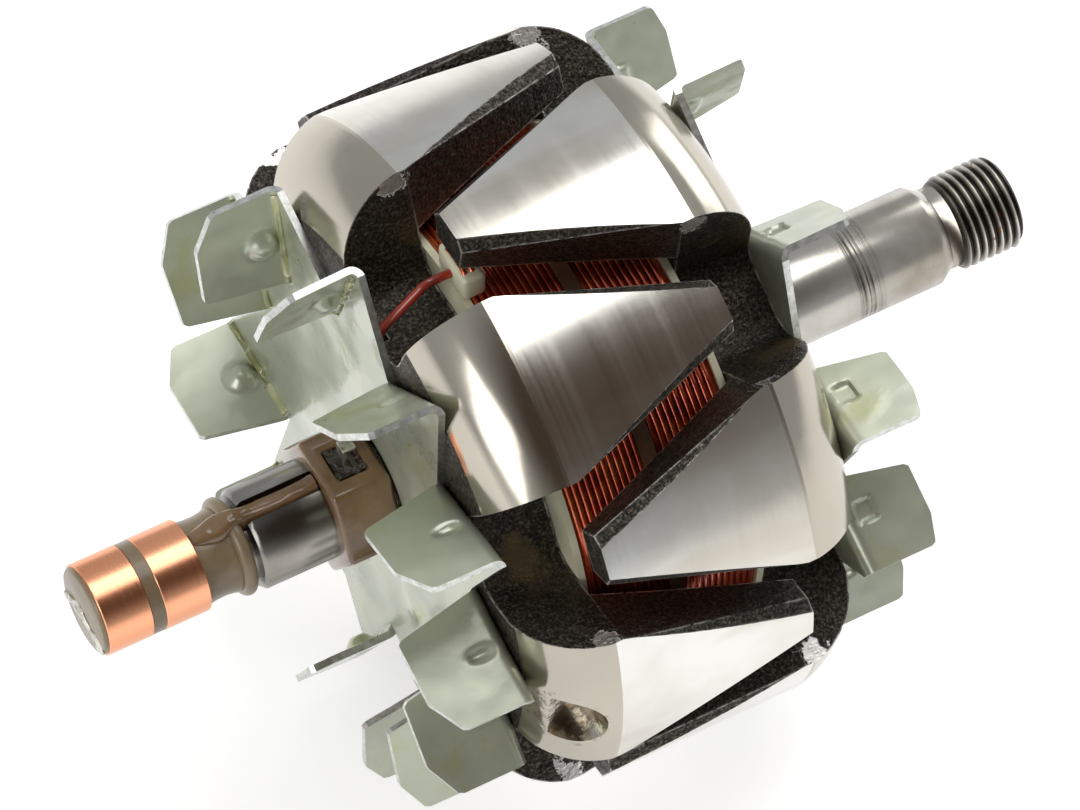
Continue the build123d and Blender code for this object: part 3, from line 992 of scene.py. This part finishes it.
stripSet = {
    "angles": {"conductor_strip_a": 93.0, "conductor_strip_b": 273.0},
    # along the shaft, half the width, foot radius and top radius, in millimetres
    "sections": [
        (-124.4, 1.2, 6.6, 7.25),
        (-123.4, 1.5, 6.6, 7.7),
        (-122.0, 1.9, 6.6, 8.0),
        (-120.6, 2.3, 6.6, 8.35),
        (-119.4, 2.3, 6.7, 8.7),
        (-118.2, 2.0, 6.8, 9.1),
        (-117.0, 1.75, 6.8, 9.15),
        (-116.0, 1.65, 6.0, 8.75),
        (-114.0, 1.65, 5.8, 8.35),
        (-111.0, 1.65, 5.8, 8.3),
        (-107.5, 1.65, 5.8, 8.35),
        (-104.5, 1.65, 5.8, 8.6),
        (-102.6, 1.65, 5.8, 9.0),
    ],
    "square": 0.55,  # 1 is a round top, less is squarer
    "ripple": 0.18,
    "cols": 14,
    "rows": 48,
}


def squared(value, power):
    return math.copysign(abs(value) ** power, value)


def layStrips():
    # the conductors' moulding: a rounded bar from the collar, over the flange and up the neck
    sections, cols, rows = stripSet["sections"], stripSet["cols"], stripSet["rows"]
    for node, angle in stripSet["angles"].items():
        points, faces = [], []
        for row in range(rows + 1):
            place = row / rows * (len(sections) - 1)
            k = min(len(sections) - 2, int(place))
            x, half, foot, top = [p + (q - p) * (place - k) for p, q in zip(sections[k], sections[k + 1])]
            for col in range(cols):
                turn = math.pi * col / (cols - 1)
                rise = max(0.0, math.sin(turn)) ** stripSet["square"]
                ripple = noise.noise(Vector((x * 0.8, turn * 1.5, angle))) * stripSet["ripple"]
                r = foot + (top - foot + ripple) * rise
                side = half * squared(math.cos(turn), stripSet["square"])
                points.append(around(x / 1000, r / 1000, math.radians(angle) + side / max(r, 6.0)))
        tubeInto(faces, 0, rows, cols, capped=True)
        makePiece(node + "_moulding", points, faces, "brownMoulding", node, 1.0)


# in millimetres
contactSet = {
    "x": -143.4, "z": -2.1, "half": 6.9, "wide": 1.5,
    "proud": 0.48, "sunk": -0.3, "sway": 0.9, "rows": 60, "ring": 12,
}


def solderContact():
    # a twisted bar soldered across the end disc, lumpy where the solder took
    points, faces = [], []
    c = contactSet
    rows, ring = c["rows"], c["ring"]
    for row in range(rows + 1):
        share = 1 - 2 * row / rows
        y = c["half"] * share
        end = math.sqrt(max(0.0, 1 - share ** 8))
        lump = noise.noise(Vector((y * 0.9, 2.1, 0.4)))
        wide = c["wide"] * (0.75 + 0.30 * math.sin(y * 0.9) + 0.35 * lump) * end
        for k in range(ring):
            turn = math.tau * k / ring
            deep = c["proud"] * (0.80 + 0.20 * math.sin(y * 1.7 + turn * 2)) * end
            x = c["x"] - max(c["sunk"], deep * math.sin(turn))
            z = c["z"] + wide * math.cos(turn) + c["sway"] * math.sin(y * 0.45 + 1.0)
            points.append((x / 1000, y / 1000, z / 1000))
    tubeInto(faces, 0, rows, ring, capped=True)
    makePiece("solderedContact", points, faces, "solder", "tip_contact", 1.2)


# solids whose corners are rounded: new name, finish, rounding, and the radius outside which it applies
roundedSet = {
    "terminal_collar": ("collarMoulding", "brownMoulding", 0.0008, 0.0100),
    "lead_clip_a": ("leadClip_a", "creamNylon", 0.0009, 0.0),
    "lead_clip_b": ("leadClip_b", "creamNylon", 0.0009, 0.0),
    "terminal_hook_a": ("crimpHook_a", "tinned", 0.00022, 0.0),
    "terminal_hook_b": ("crimpHook_b", "tinned", 0.00022, 0.0),
}
# angles in radians: what counts as flat, as a corner to round, and as a hard line afterwards
cornerSet = {"flat": 0.02, "corner": 0.6, "crease": 0.55, "segments": 3}


def roundCorners(node, name, finish, rounding, outside):
    # a copy of the node's solid with its sharp corners taken off
    work = copyNode(node)
    bmesh.ops.dissolve_limit(work, angle_limit=cornerSet["flat"], verts=work.verts[:], edges=work.edges[:])
    corners = []
    for edge in work.edges:
        if len(edge.link_faces) == 2 and edge.calc_face_angle(0) > cornerSet["corner"]:
            middle = (edge.verts[0].co + edge.verts[1].co) / 2
            if math.hypot(middle.y, middle.z) > outside:
                corners.append(edge)
    steps = cornerSet["segments"]
    bmesh.ops.bevel(work, geom=corners, offset=rounding, segments=steps, profile=0.5, affect="EDGES")
    bmesh.ops.recalc_face_normals(work, faces=work.faces[:])
    for face in work.faces:
        face.smooth = True
    hardenEdges(work, cornerSet["crease"])
    linkPiece(name, meshFrom(name, work, finish), node)


# in millimetres
pottingSet = {
    "angles": {"a": 93.0, "b": 273.0},
    "x": -97.2,
    "long": 2.45,
    "wide": 2.95,
    "floor": 9.1,
    "least": 0.4,
    "heap": 1.3,
    "cells": 28,
}


def pourPotting():
    # dark potting left ragged in each pocket round the crimped end
    p, n = pottingSet, pottingSet["cells"]
    for number, (side, angle) in enumerate(p["angles"].items()):
        ahead = math.radians(angle)
        outward = Vector((0, math.cos(ahead), math.sin(ahead)))
        over = Vector((0, -math.sin(ahead), math.cos(ahead)))
        top, low, faces = [], [], []
        for i in range(n + 1):
            for j in range(n + 1):
                u, v = 2 * i / n - 1, 2 * j / n - 1
                x, t = p["x"] + p["long"] * u, p["wide"] * v
                swell = 0.55 + noise.noise(Vector((x * 0.7, t * 0.7, number * 4.1 + 0.5))) * 0.9
                creep = 0.5 * max(abs(u), abs(v)) ** 4
                r = p["floor"] + p["least"] + p["heap"] * max(0.0, min(1.0, swell * 0.6 + creep * 0.7))
                for level, store in ((r, top), (p["floor"], low)):
                    store.append(tuple((Vector((x, 0, 0)) + outward * level + over * t) / 1000))
        base = len(top)
        row = n + 1
        for i in range(n):
            for j in range(n):
                a, b = i * row + j, (i + 1) * row + j
                faces += [(a, a + 1, b + 1, b), (base + b, base + b + 1, base + a + 1, base + a)]
        rim = list(range(n)) + [i * row + n for i in range(n)]
        rim += [n * row + j for j in range(n, 0, -1)] + [i * row for i in range(n, 0, -1)]
        for a, b in zip(rim, rim[1:] + rim[:1]):
            faces.append((a, b, base + b, base + a))
        makePiece("pocketPotting_" + side, top + low, faces, "potting", crease=1.0)


clipSet = {
    "turns": 2, "wire": 0.00045, "pitch": 0.0013, "start": 0.0010,
    "reach": 0.72, "ring": 8, "steps": 40,
}


def tieClip(node, sign):
    # turns of the coil's own wire, wound round the clip that holds the lead
    low, high = nodeBox(node)
    points, faces = [], []
    ring, steps, wire = clipSet["ring"], clipSet["steps"], clipSet["wire"]
    middle = (low + high) / 2
    halfY = (high.y - low.y) / 2 * clipSet["reach"]
    halfZ = (high.z - low.z) / 2 + wire / 2
    for turn in range(clipSet["turns"]):
        base = len(points)
        x = low.x + clipSet["start"] + turn * clipSet["pitch"]
        for step in range(steps):
            a = math.tau * step / steps
            c, d = math.cos(a), math.sin(a)
            y = middle.y + halfY * squared(c, 0.5)
            z = middle.z + halfZ * squared(d, 0.5)
            z = max(z, low.z + wire) if sign > 0 else min(z, high.z - wire)
            for k in range(ring):
                b = math.tau * k / ring
                out = wire * math.cos(b)
                points.append((x + wire * math.sin(b), y + out * c, z + out * d))
        tubeInto(faces, base, steps, ring, looped=True)
    makePiece(node + "_tie", points, faces, "enamelledWire")


windCoil()
cutThread()
print("coil wound, thread cut")
for fanName, fanLook in fanSet.items():
    stampFan(fanName, fanLook)
    runVarnish(fanName, fanLook)
print("fans stamped")
turnRingMoulding()
turnRings()
layStrips()
solderContact()
for nodeName, recipe in roundedSet.items():
    roundCorners(nodeName, *recipe)
pourPotting()
tieClip("lead_clip_a", 1)
tieClip("lead_clip_b", -1)
print("pieces made")


# camera, floor and light

cameraView = {
    "place": (-0.4798, -0.7576, 1.2203),
    "heading": 28.891,  # degrees from +Y towards +X
    "dip": 54.649,
    "lens": 313.5,
    "sensor": 36.0,
    "far": 20.0,
}


def placeCamera():
    heading = math.radians(cameraView["heading"])
    dip = math.radians(cameraView["dip"])
    level = math.cos(dip)
    look = Vector((math.sin(heading) * level, math.cos(heading) * level, -math.sin(dip)))
    right = Vector((math.cos(heading), -math.sin(heading), 0))
    up = right.cross(look)
    data = bpy.data.cameras.new("photoCamera")
    data.lens = cameraView["lens"]
    data.sensor_width = cameraView["sensor"]
    data.clip_end = cameraView["far"]
    camera = bpy.data.objects.new("photoCamera", data)
    axes = Matrix((right, up, -look)).transposed().to_4x4()
    camera.matrix_world = Matrix.Translation(Vector(cameraView["place"])) @ axes
    bpy.context.collection.objects.link(camera)
    bpy.context.scene.camera = camera


floorSet = {"half": 3.0, "gap": 0.0005, "colour": (0.90, 0.90, 0.90), "rough": 0.9, "glow": 0.55}


def layFloor():
    low = cadBox[0][2] - floorSet["gap"]
    half = floorSet["half"]
    corners = [(-half, -half, low), (half, -half, low), (half, half, low), (-half, half, low)]
    mesh = bpy.data.meshes.new("floor")
    mesh.from_pydata(corners, [], [(0, 1, 2, 3)])
    floor = bpy.data.objects.new("floor", mesh)
    bpy.context.collection.objects.link(floor)
    mat = bpy.data.materials.new("floorPaper")
    mat.use_nodes = True
    tree = mat.node_tree
    bsdf = tree.nodes["Principled BSDF"]
    bsdf.inputs["Base Color"].default_value = (*floorSet["colour"], 1)
    bsdf.inputs["Roughness"].default_value = floorSet["rough"]
    bsdf.inputs["Specular IOR Level"].default_value = 0.0
    out = tree.nodes["Material Output"]
    # white for the camera and in reflections, and no more light on the rotor
    glow = tree.nodes.new("ShaderNodeEmission")
    path = tree.nodes.new("ShaderNodeLightPath")
    either = tree.nodes.new("ShaderNodeMath")
    either.operation = "MAXIMUM"
    tree.links.new(path.outputs["Is Camera Ray"], either.inputs[0])
    tree.links.new(path.outputs["Is Glossy Ray"], either.inputs[1])
    seen = tree.nodes.new("ShaderNodeMath")
    seen.operation = "MULTIPLY"
    seen.inputs[1].default_value = floorSet["glow"]
    tree.links.new(either.outputs[0], seen.inputs[0])
    tree.links.new(seen.outputs[0], glow.inputs["Strength"])
    add = tree.nodes.new("ShaderNodeAddShader")
    tree.links.new(bsdf.outputs[0], add.inputs[0])
    tree.links.new(glow.outputs[0], add.inputs[1])
    tree.links.new(add.outputs[0], out.inputs["Surface"])
    mesh.materials.append(mat)


softboxes = {
    "overhead": {"place": (0.22, 0.12, 0.80), "size": (0.55, 0.62), "power": 3.0},
    "leftWall": {"place": (-0.85, -0.25, 0.35), "size": (0.45, 0.5), "power": 2.2},
    "rightWall": {"place": (0.80, 0.40, 0.30), "size": (0.4, 0.5), "power": 1.6},
}
worldLight = {
    "light": (0.80, 0.82, 0.84),
    "dark": (0.135, 0.098, 0.074),
    "darkWay": (-0.05, -0.62, 0.78),
    "edge": (0.62, 0.93),  # where the room turns from light to dark, as the cosine from darkWay
    "strength": 0.62,
    "middle": (-0.055, 0, 0),  # where the lamps point
}


def hangLights():
    middle = Vector(worldLight["middle"])
    for name, box in softboxes.items():
        data = bpy.data.lights.new(name, "AREA")
        data.shape = "RECTANGLE"
        data.size, data.size_y = box["size"]
        data.energy = box["power"]
        lamp = bpy.data.objects.new(name, data)
        lamp.location = box["place"]
        lamp.rotation_euler = (middle - Vector(box["place"])).to_track_quat("-Z", "Y").to_euler()
        bpy.context.collection.objects.link(lamp)
    # a pale room with a dark wall above the front, as the turned faces show in the photo
    world = bpy.data.worlds.new("studio")
    bpy.context.scene.world = world
    world.use_nodes = True
    tree = world.node_tree
    background = tree.nodes["Background"]
    coord = tree.nodes.new("ShaderNodeTexCoord")
    dot = tree.nodes.new("ShaderNodeVectorMath")
    dot.operation = "DOT_PRODUCT"
    dot.inputs[1].default_value = Vector(worldLight["darkWay"]).normalized()
    tree.links.new(coord.outputs["Generated"], dot.inputs[0])
    ramp = tree.nodes.new("ShaderNodeValToRGB")
    for element, place, tone in zip(ramp.color_ramp.elements, worldLight["edge"], ("light", "dark")):
        element.position = place
        element.color = (*worldLight[tone], 1)
    tree.links.new(dot.outputs["Value"], ramp.inputs[0])
    tree.links.new(ramp.outputs[0], background.inputs["Color"])
    background.inputs["Strength"].default_value = worldLight["strength"]


placeCamera()
layFloor()
hangLights()
bpy.context.scene.view_settings.view_transform = "Standard"
print("camera, floor and light placed")
